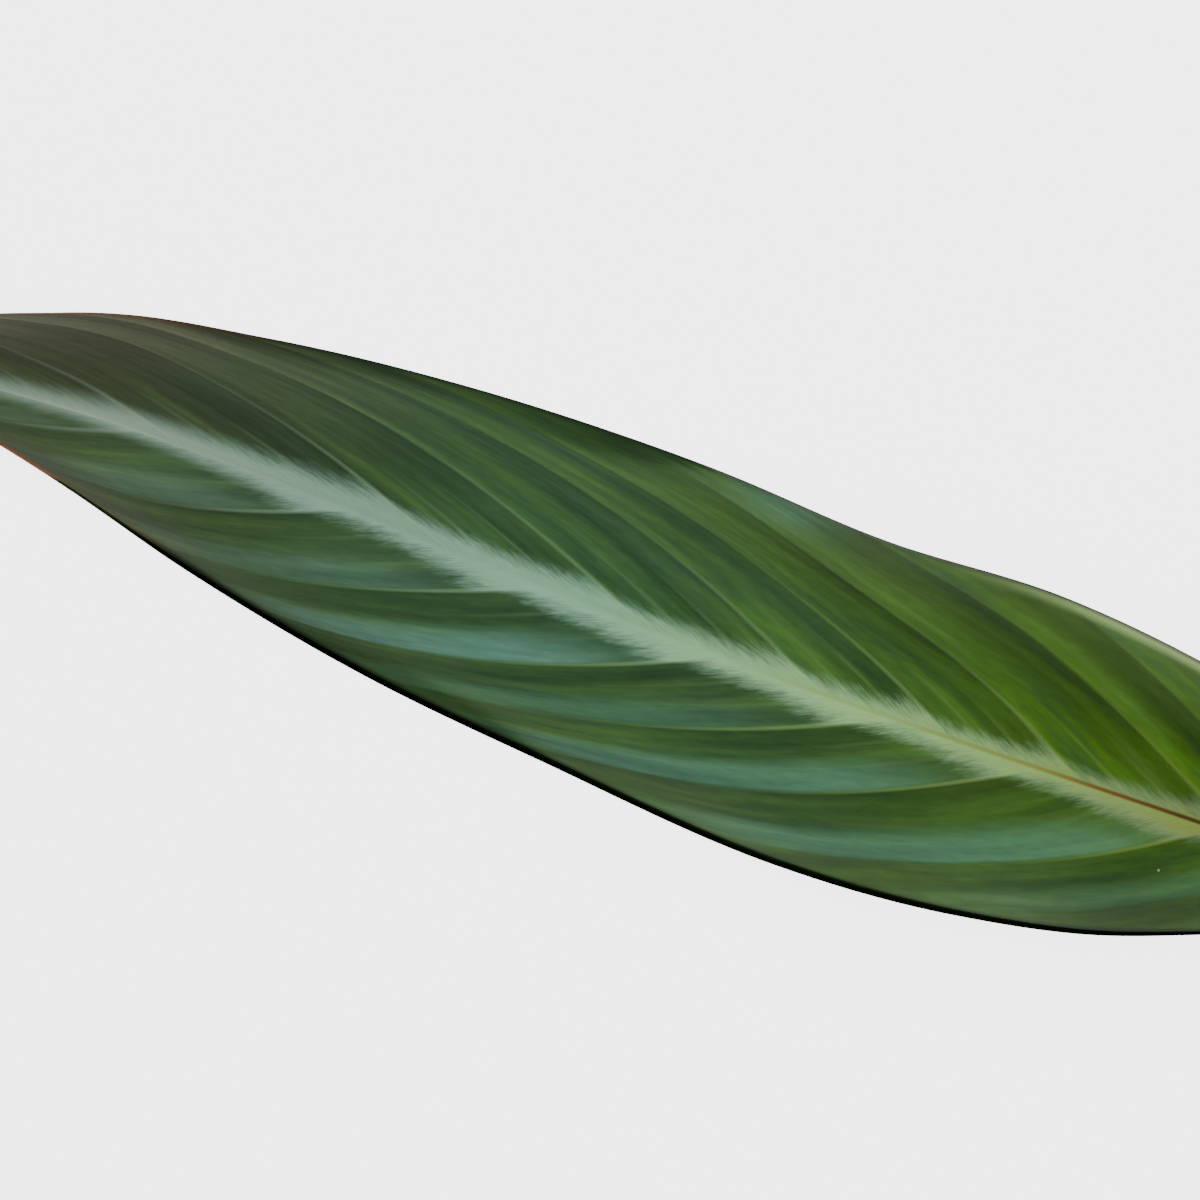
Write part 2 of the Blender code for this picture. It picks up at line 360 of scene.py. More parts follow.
# How far the feather reaches from the midrib, in millimetres at each station
BROAD_FEATHER = [
    (0, 0.6), (40, 1.3), (70, 1.6), (100, 1.8), (140, 2.2),
    (190, 2.9), (240, 3.6), (280, 2.9), (300, 2.2), (345, 0.6),
]
SLIM_FEATHER = [
    (0, 0.8), (40, 2.0), (70, 2.8), (100, 2.6), (140, 2.6), (190, 2.8), (240, 1.5), (300, 0.6), (345, 0.3),
]
BROAD_TOOTH = 2.2
BROAD_TOOTH_FADE = 4.0
SLIM_TOOTH = 2.4
SLIM_TOOTH_FADE = 3.0

phase = choose(vein_phase(BROAD_VEINS, start_grid), vein_phase(SLIM_VEINS, start_grid))
interval = np.minimum(phase.astype(int), len(BROAD_VEINS) - 2)
past_vein = phase - interval

# The feather runs out in a tooth along each main vein and shrinks back before the next one
broad_tooth = BROAD_TOOTH * np.exp(-past_vein * BROAD_TOOTH_FADE)
slim_tooth = SLIM_TOOTH * np.exp(-past_vein * SLIM_TOOTH_FADE)
tooth = choose(broad_tooth, slim_tooth) * rise(start_grid, 310, 240)
feather_reach = choose(through(BROAD_FEATHER, start_grid), through(SLIM_FEATHER, start_grid)) + tooth
inside_feather = feather_reach - from_midrib
print("feather reaches", span(feather_reach), "mm")

# %% [markdown]
# ## Light, dark and tinted places
# Between two main veins the green changes from dark to light, partly as the leaf's own bands and partly as
# painted shade and light on the sides of the pleats. Each half has its own habit: the broad half has painted
# light beside the midrib and painted shade at the margin, and the slim half is more even. Two fine side
# veins part each band in three strips, each a little lighter or darker than its neighbour. The base is a
# fresh green, the tip turns bronze, and a painted cool sheen lies in patches past the main veins of the slim
# half. A painter would lay these in by hand. Here each is a share for every point, made from a few soft
# steps: a step is written with the station, or the fraction of the way out, where it starts and where it
# ends.

# %% Dark and light bands
# Brightness at fractions of the way from the midrib to the margin. On the broad half this is painted light
# beside the midrib and painted shade at the margin
BROAD_PAINTED_SHADING = [(0, 1.3), (0.2, 1.26), (0.35, 1.08), (0.5, 0.88), (0.65, 0.76), (0.8, 0.72), (1.0, 0.7)]
SLIM_TONE = [(0, 0.96), (0.25, 0.94), (0.45, 1.04), (0.6, 1.06), (0.75, 0.86), (1.0, 0.76)]

# Past each vein the broad half starts dark and turns light, and the slim half starts light and turns dark:
# partly the leaf's own bands, partly painted shade and light on the sides of the pleats
band_depth = 0.24 + 0.16 * rise(station_grid, 180, 120)
band_step = rise(past_vein, 0.28, 0.62) - 0.5
tone_with_painted_shading = choose(1 + band_depth * band_step, 1.04 - 0.2 * rise(past_vein, 0.5, 0.95))
tone_with_painted_shading *= choose(through(BROAD_PAINTED_SHADING, fraction), through(SLIM_TONE, fraction))

# A patch of painted shade by the broad margin, dark fields past the middle, a lighter tip and a darker base
tone_with_painted_shading *= choose(1 - 0.3 * rise(fraction, 0.6, 0.85) * bell(station_grid, 140, 22), 1.0)
past_middle = rise(station_grid, 215, 240) * rise(fraction, 0.6, 0.35)
tip_margin = rise(station_grid, 255, 290) * rise(fraction, 0.6, 0.9)
tone_with_painted_shading *= choose((1 - 0.24 * past_middle) * (1 + 0.16 * tip_margin), 1 + 0.14 * rise(station_grid, 255, 290))
tone_with_painted_shading *= 1 - 0.16 * rise(station_grid, 105, 75) * rise(fraction, 0.3, 0.5)
print("brightness of the bands:", span(tone_with_painted_shading))

# %% Strips between the fine side veins
# Shares of the way from one main vein to the next where the two fine side veins lie
MINOR_VEINS = (0.34, 0.67)

strip = 3 * interval + (past_vein > MINOR_VEINS[0]) + (past_vein > MINOR_VEINS[1])
strip_tone = np.random.default_rng(11).uniform(0.91, 1.09, (2, 3 * len(BROAD_VEINS)))
tone_with_painted_shading *= choose(strip_tone[0][strip], strip_tone[1][strip])
print("brightness with the strips:", span(tone_with_painted_shading))

# %% Greens and bronze
# Bronze grows towards the tip and fresh green towards the base. The outer blade is a warmer green, and
# patches of lush green are allowed everywhere but at the tip
bronze = rise(station_grid, 205, 315) * choose(0.6 + 0.4 * fraction, 0.3 + 0.6 * fraction**2)
fresh = rise(station_grid, 190, 85) * choose(1.0, 0.35 + 0.65 * rise(fraction, 0.8, 0.1))
outer = choose(rise(fraction, 0.35, 0.7), 0.8 * rise(fraction, 0.65, 0.85)) * rise(station_grid, 280, 130)
lushness = 0.45 * rise(station_grid, 250, 150)
print("bronze", span(bronze), "and fresh green", span(fresh))

# %% Painted cool sheen
# How strong the painted sheen is past each main vein, from the base to the tip
BROAD_PAINTED_SHEEN = [0.0, 0.0, 0.0, 0.0, 0.0, 0.1, 0.1, 0.1, 0.2, 0.2, 0.1]
SLIM_PAINTED_SHEEN = [0.1, 0.2, 0.35, 0.68, 0.66, 0.28, 0.82, 0.45, 0.62, 0.32, 0.1]

sheen_of_vein = choose(np.array(BROAD_PAINTED_SHEEN)[interval], np.array(SLIM_PAINTED_SHEEN)[interval])
sheen_across = rise(past_vein, 0.0, 0.05) * rise(past_vein, 0.6, 0.25)
sheen_along = rise(fraction, 0.08, 0.45) * rise(fraction, 1.0, 0.8)
painted_sheen = sheen_of_vein * sheen_across * sheen_along

# One more patch of painted sheen lies at the broad margin
painted_sheen += choose(0.45 * rise(fraction, 0.78, 0.95) * bell(station_grid, 162, 10), 0.0)
print("painted_sheen", span(painted_sheen))

# %% How wide and how clear the veins are
vein_half_width = 0.14 + 0.5 * (1 - fraction) ** 3
vein_show = choose(0.95 * rise(fraction, 0.8, 0.05), rise(fraction, 0.85, 0.15))
past_minor = np.minimum(np.abs(past_vein - MINOR_VEINS[0]), np.abs(past_vein - MINOR_VEINS[1]))
band_width = choose(np.diff(vein_roots(BROAD_VEINS))[interval], np.diff(vein_roots(SLIM_VEINS))[interval])
to_minor = past_minor * band_width * row_gap
minor_show = choose(0.6, 0.28) * rise(fraction, 0.42, 0.08)
print("half widths of the main side veins:", span(vein_half_width), "mm")

# %% Pale, warm and dark edges
# Near the base the broad half has a painted sheen, a pale line just inside its margin, and the edges of the
# tip are warm
painted_edge_sheen = choose(0.72 * rise(to_margin, 2.9, 0.9) * rise(to_margin, 0.1, 0.8), 0.0)
painted_edge_sheen *= rise(station_grid, 135, 90) * rise(station_grid, 40, 70)
warm_edge = choose(rise(station_grid, 265, 285) * 0.35, rise(station_grid, 270, 295))
# The dark rim is partly the leaf's own dark edge and partly painted shadow along the margin
rim_width = choose(0.5, 0.6 + rise(station_grid, 290, 270) * rise(station_grid, 15, 80))
print("dark rim:", span(rim_width), "mm wide")

# %% Where the grain runs
# Fine veins are never ruled lines, so the grain wanders by up to a millimetre beside the rows of the grid
slow_bends = 0.55 * np.sin(along_vein / 8.3 + start_grid / 17.0)
quick_bends = 0.4 * np.sin(along_vein / 4.1 - start_grid / 9.0)
wander = (slow_bends + quick_bends) * rise(along_vein, 1.5, 12.0)

# The third number lies far apart on the two halves, so each has a grain of its own
GRAIN_OFFSET = 50.0
vein_space = np.stack([start_grid + wander, along_vein, choose(0.0, GRAIN_OFFSET)], axis=-1)
print("grain wanders by", span(wander), "mm")


# %% Store the numbers on the points
def store(name, grid):
    """Keep one number, or three, for each point of the blade as an attribute that materials can read."""
    kind = "FLOAT_VECTOR" if grid.ndim == 3 else "FLOAT"
    layer = blade.data.attributes.new(name, kind, "POINT")
    values = grid[rows, columns].astype(np.float32).ravel()
    layer.data.foreach_set("vector" if grid.ndim == 3 else "value", values)


near_rib = rise(from_midrib, 0.3, 2.0)
POINT_NUMBERS = {
    "vein_space": vein_space,
    "station": station_grid,
    "from_midrib": from_midrib,
    "into_rim": rim_width - to_margin,
    "to_vein": to_vein,
    "into_vein": vein_half_width - to_vein,
    "inside_feather": inside_feather,
    "looseness": 1 - 0.75 * rise(station_grid, 245, 290),
    # Painted light on the broad side of the feather and painted shade on the slim side, evening out the
    # shading of the valley over the midrib
    "feather_painted_light": choose(1 + 0.1 * near_rib, 1 - 0.05 * near_rib),
    "lushness": lushness,
    "bronze": bronze,
    "fresh": fresh,
    "tone_with_painted_shading": tone_with_painted_shading,
    "outer": outer,
    "painted_sheen": painted_sheen,
    "into_minor": 0.5 * vein_half_width - to_minor,
    "minor_show": minor_show,
    "vein_show": vein_show,
    "dull": choose(0.5 + 0.5 * rise(fraction, 0.1, 0.4), 0.75 - 0.55 * painted_sheen),
    "painted_edge_sheen": painted_edge_sheen,
    "warm_edge": warm_edge,
}
for name, grid in POINT_NUMBERS.items():
    store(name, grid)
print(len(POINT_NUMBERS), "numbers stored on each point")

# %% [markdown]
# ## Colour helpers
# Pictures and paint charts give colours as sRGB hex values, while the renderer reckons in linear light, so
# one function turns one into the other. Another adds a shader node, sets it and links it.


# %% Helpers for materials
def colour(code):
    """Linear RGBA of an sRGB hex colour."""
    parts = [int(code[i : i + 2], 16) / 255 for i in (0, 2, 4)]
    return tuple(c / 12.92 if c <= 0.04045 else ((c + 0.055) / 1.055) ** 2.4 for c in parts) + (1.0,)


def feed(material, node, inputs):
    """Set or link a node's inputs. Each takes a value, a socket, a node or the name of a stored number."""
    for name, value in inputs.items():
        if isinstance(value, str):
            value = add_node(material, "Attribute", attribute_name=value).outputs["Fac"]
        if isinstance(value, bpy.types.Node):
            value = next(socket for socket in value.outputs if socket.enabled)
        if isinstance(value, bpy.types.NodeSocket):
            material.node_tree.links.new(value, node.inputs[name])
        else:
            node.inputs[name].default_value = value


def add_node(material, kind, inputs=None, **settings):
    """Add a node to a material, with its settings and links."""
    node = material.node_tree.nodes.new("ShaderNode" + kind)
    for name, value in settings.items():
        setattr(node, name, value)
    feed(material, node, inputs or {})
    return node


def new_material(name):
    """A material that holds nothing yet but its main shader, and that shader."""
    material = bpy.data.materials.new(name)
    material.use_nodes = True
    return material, material.node_tree.nodes["Principled BSDF"]


# A colour Mix node names its sockets twice, so they are given by number
SHARE, UNDER, OVER = 0, 6, 7
print("leaf green in linear light:", [round(c, 3) for c in colour("3b5d35")])


# %% Patterns that the skins share
# Most values of a noise pattern lie between a quarter and three quarters
NOISE_RANGE = {"From Min": 0.25, "From Max": 0.75}

# The streaks of the fine veins, on both skins, as millimetres of midrib wide and millimetres long
STREAK_SIZE = (1.6, 26.0)
FINE_VEIN_SIZE = (1.1, 40.0)
RELIEF_DEPTH = 0.05


def vein_grain(material, width, length, roughness=0.62):
    """Noise drawn out along the fine veins, its streaks so many millimetres of midrib wide and so long."""
    place_on_vein = add_node(material, "Attribute", attribute_name="vein_space").outputs["Vector"]
    stretched = add_node(
        material, "VectorMath", {0: place_on_vein, 1: (1 / width, 1 / length, 1.0)}, operation="MULTIPLY"
    )
    return add_node(
        material, "TexNoise", {"Vector": stretched, "Scale": 1.0, "Detail": 3.0, "Roughness": roughness}
    )


def paint(material, under, layers):
    """Lay tints over a colour, each by its own share from 0 to 1."""
    for share, tint in layers:
        over = colour(tint) if isinstance(tint, str) else tint
        under = add_node(material, "Mix", {SHARE: share, UNDER: under, OVER: over}, data_type="RGBA")
    return under


def tints_along(material, share, stops):
    """A colour that changes along the leaf, by a share from 0 to 1: stops are (share, hex colour)."""
    ramp = add_node(material, "ValToRGB", {"Fac": share})
    for stop in stops[2:]:
        ramp.color_ramp.elements.new(0.5)
    for element, (where, tint) in zip(ramp.color_ramp.elements, stops):
        element.position = where
        element.color = colour(tint)
    return ramp


def along_midrib(material, stops):
    """A colour that changes with the station on the blade: stops are (station in mm, hex colour)."""
    share = add_node(material, "Math", {0: "station", 1: BLADE_LENGTH}, operation="DIVIDE")
    return tints_along(material, share, [(station / BLADE_LENGTH, tint) for station, tint in stops])


print("streaks are drawn about", round(STREAK_SIZE[0] * float(np.median(row_gap)), 2), "mm wide")

# %% [markdown]
# ## The upper skin
# The upper skin is a waxy cuticle over green cells: half gloss, a little uneven, with the fine veins showing
# as streaks. It could be one image, but then the streaks would blur close up. So the tints are laid one over
# the other as a painter glazes: the leaf's green, the warmer green of the outer blade and the fresh green of
# the base, warm and cool bands, lush patches, a painted cool sheen, and the bronze of the young tip. Streaks,
# blotches and painted light and shade make these lighter and darker. Over them come a painted sheen along
# the pale edge, the fine and the main side veins, the feather, the line of the midrib, the dark rim, which is
# partly painted shadow, and a few specks of grit.

# %% Waxy green cuticle: the greens
# A living skin under a thin coat of plant wax: deep green with a soft, broken sheen
upper, upper_shader = new_material("waxy_upper_cuticle")
green = paint(upper, colour("3b5d35"), [("outer", "3d5c24"), ("fresh", "41640f")])
bands = vein_grain(upper, 8.0, 48.0, roughness=0.45)
warm_band = add_node(upper, "MapRange", {"Value": bands, "From Min": 0.5, "From Max": 0.72, "To Max": 0.4})
cool_band = add_node(upper, "MapRange", {"Value": bands, "From Min": 0.48, "From Max": 0.3, "To Max": 0.6})
patches = vein_grain(upper, 11.0, 15.0)
lush_patch = add_node(upper, "MapRange", {"Value": patches, "From Min": 0.5, "From Max": 0.75})
lush = add_node(upper, "Math", {0: lush_patch, 1: "lushness"}, operation="MULTIPLY")
# A cool tint for the painted sheen, a painted reflection of the light on the slopes past the veins
sheen_colour = along_midrib(upper, [(90, "5a8a68"), (150, "5c8e72"), (205, "608f7b"), (280, "62866e")])
GREEN_LAYERS = [
    (warm_band, "567a33"),
    (cool_band, "294a2a"),
    (lush, "4b7420"),
    ("painted_sheen", sheen_colour),
    ("bronze", "4a4735"),
]
banded = paint(upper, green, GREEN_LAYERS)
print("greens:", len(upper.node_tree.nodes), "nodes")

# %% Waxy green cuticle: streaks and blotches
band_light = add_node(
    upper, "MapRange", {"Value": bands, "From Min": 0.3, "From Max": 0.7, "To Min": 0.86, "To Max": 1.14}
)
streaks = vein_grain(upper, *STREAK_SIZE)
streak_tone = add_node(upper, "MapRange", {"Value": streaks, **NOISE_RANGE, "To Min": 0.94, "To Max": 1.06})
blotches = vein_grain(upper, 3.0, 5.0)
blotch_tone = add_node(upper, "MapRange", {"Value": blotches, **NOISE_RANGE, "To Min": 0.86, "To Max": 1.14})
grain_tone = add_node(upper, "Math", {0: streak_tone, 1: blotch_tone}, operation="MULTIPLY")
# The stored tone holds painted shade and light as well as the leaf's own bands and strips
band_tone = add_node(upper, "Math", {0: "tone_with_painted_shading", 1: band_light}, operation="MULTIPLY")
green_tone = add_node(upper, "Math", {0: band_tone, 1: grain_tone}, operation="MULTIPLY")
toned = add_node(upper, "HueSaturation", {"Value": green_tone, "Color": banded})
print("greens with their grain:", len(upper.node_tree.nodes), "nodes")

# %% Waxy green cuticle: the pale feather
# Its frayed edge is moved in and out by wide locks and fine hairs, which run along the veins. The finest
# real hairs are thinner than the dots of the picture, so these are drawn as coarse as the note below says
HAIR_SIZE = (0.55, 3.6)

wide_locks = vein_grain(upper, 3.0, 6.0)
frayed = add_node(upper, "MapRange", {"Value": wide_locks, **NOISE_RANGE, "To Min": -0.7, "To Max": 0.7})
fine_hairs = vein_grain(upper, *HAIR_SIZE)
hairy = add_node(upper, "MapRange", {"Value": fine_hairs, **NOISE_RANGE, "To Min": -0.8, "To Max": 0.8})
loose_edge = add_node(upper, "Math", {0: frayed, 1: hairy}, operation="ADD")
combed_edge = add_node(upper, "Math", {0: loose_edge, 1: "looseness"}, operation="MULTIPLY")
feather_depth = add_node(upper, "Math", {0: "inside_feather", 1: combed_edge}, operation="ADD")
feather = add_node(
    upper,
    "MapRange",
    {"Value": feather_depth, "From Min": -1.9, "From Max": 1.9, "To Max": 0.94},
    interpolation_type="SMOOTHSTEP",
)

# The feather is yellow green at the base, mint in the middle and grey green at the tip, and cooler outside
FEATHER_TINTS = [
    (65, "8f9f46"), (100, "a2c56c"), (140, "aede8e"), (195, "9ad2a6"), (250, "98bda0"), (295, "acc2a4"),
]
feather_colour = along_midrib(upper, FEATHER_TINTS)
fringe = add_node(
    upper, "MapRange", {"Value": feather_depth, "From Min": 2.4, "From Max": -0.4, "To Max": 0.5}
)
two_toned = paint(upper, feather_colour, [(fringe, "7f9f94")])
hair_tone = add_node(upper, "MapRange", {"Value": fine_hairs, **NOISE_RANGE, "To Min": 0.88, "To Max": 1.12})
feather_tone = add_node(upper, "Math", {0: "feather_painted_light", 1: hair_tone}, operation="MULTIPLY")
feather_toned = add_node(upper, "HueSaturation", {"Value": feather_tone, "Color": two_toned})
gap_at_rib = float(np.median(row_gap[from_midrib < 5]))
print("feather hairs are drawn about", round(HAIR_SIZE[0] * gap_at_rib, 2), "mm wide")

# %% Waxy green cuticle: side veins and midrib
# Each line is drawn by how far inside its own edge a point is, in millimetres, with a soft step there
VEIN_TINTS = [(65, "7c9440"), (140, "7ca05c"), (220, "79a072"), (300, "75836c")]
RIB_TINTS = [(30, "35100a"), (70, "4a170a"), (86, "7a4a1c"), (98, "8c8a3a"), (125, "98a84c")]

vein_line = add_node(
    upper, "MapRange", {"Value": "into_vein", "From Min": -0.22, "From Max": 0.2, "To Max": 0.62}
)
vein_share = add_node(upper, "Math", {0: vein_line, 1: "vein_show"}, operation="MULTIPLY")
minor_line = add_node(
    upper, "MapRange", {"Value": "into_minor", "From Min": -0.3, "From Max": 0.2, "To Max": 0.7}
)
minor_share = add_node(upper, "Math", {0: minor_line, 1: "minor_show"}, operation="MULTIPLY")
vein_colour = along_midrib(upper, VEIN_TINTS)
rib_line = add_node(
    upper, "MapRange", {"Value": "from_midrib", "From Min": 0.6, "From Max": 0.2, "To Max": 0.9}
)
rib_fade = add_node(upper, "MapRange", {"Value": "station", "From Min": 165.0, "From Max": 95.0})
rib_share = add_node(upper, "Math", {0: rib_line, 1: rib_fade}, operation="MULTIPLY")
rib_colour = along_midrib(upper, RIB_TINTS)
print("with veins and midrib:", len(upper.node_tree.nodes), "nodes")

# %% Waxy green cuticle: rim and specks of grit
# The pattern has a point in each cell of 11 mm, and one cell in seven is picked. Where the skin passes
# through such a point, a speck half a millimetre wide shows
GRIT_CELLS_PER_MM = 0.09

# The dark rim: partly the leaf's own dark edge, partly painted shadow along the margin
rim_share = add_node(upper, "MapRange", {"Value": "into_rim", "From Min": -0.45, "From Max": 0.4})
rim_colour = paint(upper, colour("14200c"), [("warm_edge", "7a4519")])
skin_place = add_node(upper, "TexCoord").outputs["Object"]
grit = add_node(upper, "TexVoronoi", {"Vector": skin_place, "Scale": GRIT_CELLS_PER_MM / MM})
grit_dot = add_node(
    upper, "MapRange", {"Value": grit.outputs["Distance"], "From Min": 0.034, "From Max": 0.02}
)
grit_pick = add_node(upper, "SeparateColor", {"Color": grit.outputs["Color"]})
grit_some = add_node(
    upper, "MapRange", {"Value": grit_pick.outputs["Red"], "From Min": 0.84, "From Max": 0.88, "To Max": 0.6}
)
grit_share = add_node(upper, "Math", {0: grit_dot, 1: grit_some}, operation="MULTIPLY")
print("with rim and grit:", len(upper.node_tree.nodes), "nodes")

# %% Waxy green cuticle: all tints together
SKIN_LAYERS = [
    ("painted_edge_sheen", "93a86a"),
    (minor_share, vein_colour),
    (vein_share, vein_colour),
    (feather, feather_toned),
    (rib_share, rib_colour),
    (rim_share, rim_colour),
    (grit_share, "bcc8b4"),
]
feed(upper, upper_shader, {"Base Color": paint(upper, toned, SKIN_LAYERS)})
print("upper skin:", len(upper.node_tree.nodes), "nodes")

# %% Waxy green cuticle: gloss and relief
# The wax is thin and uneven, so it mirrors far less than a varnish, and a little more where the painted sheen
# lies
gloss = add_node(upper, "MapRange", {"Value": "dull", "From Max": 1.0, "To Min": 0.4, "To Max": 0.68})
fine_veins = vein_grain(upper, *FINE_VEIN_SIZE)
relief = add_node(upper, "Bump", {"Height": fine_veins, "Strength": 0.32, "Distance": RELIEF_DEPTH * MM})
feed(upper, upper_shader, {"IOR": 1.45, "Specular IOR Level": 0.17, "Roughness": gloss, "Normal": relief})
print("relief of the fine veins:", RELIEF_DEPTH, "mm")

# %% [markdown]
# ## The underside
# Below, the leaf is wine red: a matt, slightly dusty skin, with the side veins standing out a little paler
# and the midrib's zone paler still. It could share the upper material and tell the sides apart by a node,
# but two materials are easier to read, and a sheet that gets its thickness later can have one on each side.

# %% Wine-red underside
# A velvety living skin with red sap in its outer cells: matt, with a soft grain along the veins
LOWER_RELIEF_DEPTH = 0.08

lower, lower_shader = new_material("wine_red_underside")
lower_streaks = vein_grain(lower, *STREAK_SIZE)
red_tone = add_node(
    lower,
    "MapRange",
    {"Value": lower_streaks, "From Min": 0.2, "From Max": 0.8, "To Min": 0.8, "To Max": 1.25},
)
lower_vein = add_node(
    lower, "MapRange", {"Value": "to_vein", "From Min": 0.7, "From Max": 0.1, "To Max": 0.6}
)
lower_feather = add_node(
    lower, "MapRange", {"Value": "inside_feather", "From Min": -2.0, "From Max": 2.0, "To Max": 0.5}
)
lower_rim = add_node(lower, "MapRange", {"Value": "into_rim", "From Min": -0.3, "From Max": 0.2})
RED_LAYERS = [("bronze", "4b1f28"), (lower_feather, "7a4148"), (lower_vein, "7d3f4a"), (lower_rim, "2f0f14")]
red = paint(lower, colour("5a2030"), RED_LAYERS)
red_toned = add_node(lower, "HueSaturation", {"Value": red_tone, "Color": red})
lower_veins = vein_grain(lower, *FINE_VEIN_SIZE)
lower_relief = add_node(
    lower, "Bump", {"Height": lower_veins, "Strength": 0.6, "Distance": LOWER_RELIEF_DEPTH * MM}
)
feed(lower, lower_shader, {"Base Color": red_toned, "Roughness": 0.6, "IOR": 1.45, "Normal": lower_relief})
print("underside:", len(lower.node_tree.nodes), "nodes")

# %% [markdown]
# ## The dark margin
# Along the slim half this leaf has a nearly black line a little over a millimetre wide, from the base to
# where the tip turns bronze. It is partly the leaf's own dark edge and partly painted shadow along it. It
# could be one more tint of the upper skin, but it has no sheen at all, so the two outermost columns of faces
# get a material of their own. Its colour fades in from the dark green of the rim, so that no hard step shows
# beside it.

# %% Dark margin with painted shadow
# The leaf's own dark edge with painted shadow along it: dull, nearly black and a little uneven
MARGIN_COLUMNS = 2
UPPER_SLOT, LOWER_SLOT, MARGIN_SLOT = 0, 1, 2

# The line ends at the fine vein that leaves the midrib here
MARGIN_END = 232.0

margin, margin_shader = new_material("dark_margin_with_painted_shadow")
crumbs = vein_grain(margin, 2.0, 6.0)
crumb_tone = add_node(margin, "MapRange", {"Value": crumbs, **NOISE_RANGE, "To Min": 0.6, "To Max": 1.5})
rim_darkening = add_node(margin, "MapRange", {"Value": "into_rim", "From Min": 0.1, "From Max": 0.7})
dark_rim_green = paint(margin, colour("1a2b10"), [(rim_darkening, "060904")])
margin_toned = add_node(margin, "HueSaturation", {"Value": crumb_tone, "Color": dark_rim_green})
feed(margin, margin_shader, {"Base Color": margin_toned, "Roughness": 0.8, "Specular IOR Level": 0.0})

margin_faces = 0
for face in blade.data.polygons:
    outermost = min(columns[corner] for corner in face.vertices) < MARGIN_COLUMNS
    far_from_tip = max(row_starts[rows[corner]] for corner in face.vertices) < MARGIN_END
    if outermost and far_from_tip:
        face.material_index = MARGIN_SLOT
        margin_faces += 1
print(margin_faces, "faces of dark margin")

# %% [markdown]
# ## The thickness of the sheet
# So far the blade is one skin without thickness. A second grid could be laid below it and joined at the
# edge, but a Solidify modifier does both: it copies the skin downwards and closes the edge, and it gives
# the copy the material of the underside and the edge that of the dark margin.

# %% Give the sheet its thickness
for material in (upper, lower, margin):
    blade.data.materials.append(material)
thick = blade.modifiers.new("thickness", "SOLIDIFY")
thick.thickness = BLADE_THICKNESS * MM
thick.offset = -1.0
thick.use_rim = True
thick.material_offset = LOWER_SLOT - UPPER_SLOT
thick.material_offset_rim = MARGIN_SLOT - UPPER_SLOT
bpy.context.view_layer.objects.active = blade
bpy.ops.object.modifier_apply(modifier=thick.name)
print("blade has", 2 * len(blade.data.polygons), "triangles")

# %% [markdown]
# ## Stalk, pulvinus and midrib
# The stalk swells at the blade's base into a joint, the pulvinus, with which the living plant lifts its
# leaves at dusk. Past it the stalk runs on under the blade as the midrib and thins out to the tip. It could
# be a bevelled curve, but the cut face needs a rim and a core of its own, so a disc is added at the cut end
# and extruded ring by ring, each ring resized to the thickness there.

# %% Thickness and height of the stalk
STALK_SIDES = 28
STALK_STEP = 2.0
STALK_STEPS_END = 20.0
MIDRIB_STEP = 4.0
MIDRIB_END = BLADE_LENGTH - 1
MIDRIB_TAPER = 0.82
MIDRIB_TAPER_POWER = 0.8
MERGE_LENGTH = 14.0

# However thin the midrib gets, its centre stays at least this far below the line of its height
LEAST_RIB_DROP = 0.6


def rib_taper(station):
    """How much of its size at the base of the blade the midrib still has."""
    return 1 - MIDRIB_TAPER * (max(station, 0) / BLADE_LENGTH) ** MIDRIB_TAPER_POWER


def stalk_ring(station):
    """Centre in metres and radius in millimetres of the stalk or the midrib at a station."""
    half_length = PULVINUS_LENGTH / 2
    swell = math.exp(-(((station + half_length) / half_length) ** 4))
    free_radius = STALK_RADIUS + (PULVINUS_RADIUS - STALK_RADIUS) * swell
    rib_radius = MIDRIB_RADIUS * rib_taper(station)
    rib_drop = LEAST_RIB_DROP + (MIDRIB_DEPTH - MIDRIB_RADIUS) * rib_taper(station)
    merged = float(rise(station, 0, MERGE_LENGTH))
    radius = free_radius + (rib_radius - free_radius) * merged
    drop = STALK_RADIUS + (rib_drop - STALK_RADIUS) * merged
    height = max(float(through(MIDRIB_HEIGHT, station)) - drop, radius + LOWEST_SKIN / 2)
    return Vector(place(station, through(MIDRIB_DRIFT, station), height)), radius


stalk_stations = np.arange(-STALK_LENGTH, STALK_STEPS_END, STALK_STEP)
midrib_stations = np.arange(STALK_STEPS_END, MIDRIB_END, MIDRIB_STEP)
ring_stations = np.concatenate([stalk_stations, midrib_stations, [MIDRIB_END]])
thickest = max(stalk_ring(station)[1] for station in ring_stations)
print(len(ring_stations), "rings, thickest", round(thickest, 2), "mm in radius")

# %% Extrude the stalk from a disc
centre, radius = stalk_ring(ring_stations[0])
bpy.ops.object.select_all(action="DESELECT")
bpy.ops.mesh.primitive_circle_add(
    vertices=STALK_SIDES, radius=radius * MM, fill_type="NGON", location=centre, rotation=(0, math.pi / 2, 0)
)
stalk = bpy.context.object
stalk.name = "leaf_stalk"
bpy.ops.object.transform_apply(location=True, rotation=True, scale=True)
bpy.ops.object.mode_set(mode="EDIT")
bpy.ops.mesh.select_all(action="SELECT")
for station in ring_stations[1:]:
    next_centre, next_radius = stalk_ring(station)
    bpy.ops.mesh.extrude_region_move(TRANSFORM_OT_translate={"value": next_centre - centre})
    share = next_radius / radius
    bpy.ops.transform.resize(value=(share, share, share), center_override=next_centre)
    centre = next_centre
    radius = next_radius
bpy.ops.mesh.select_all(action="SELECT")
bpy.ops.mesh.normals_make_consistent(inside=False)
bpy.ops.object.mode_set(mode="OBJECT")
bpy.ops.object.shade_smooth_by_angle(angle=math.radians(50))
print("stalk is", [round(float(size), 1) for size in stalk.dimensions / MM], "mm")

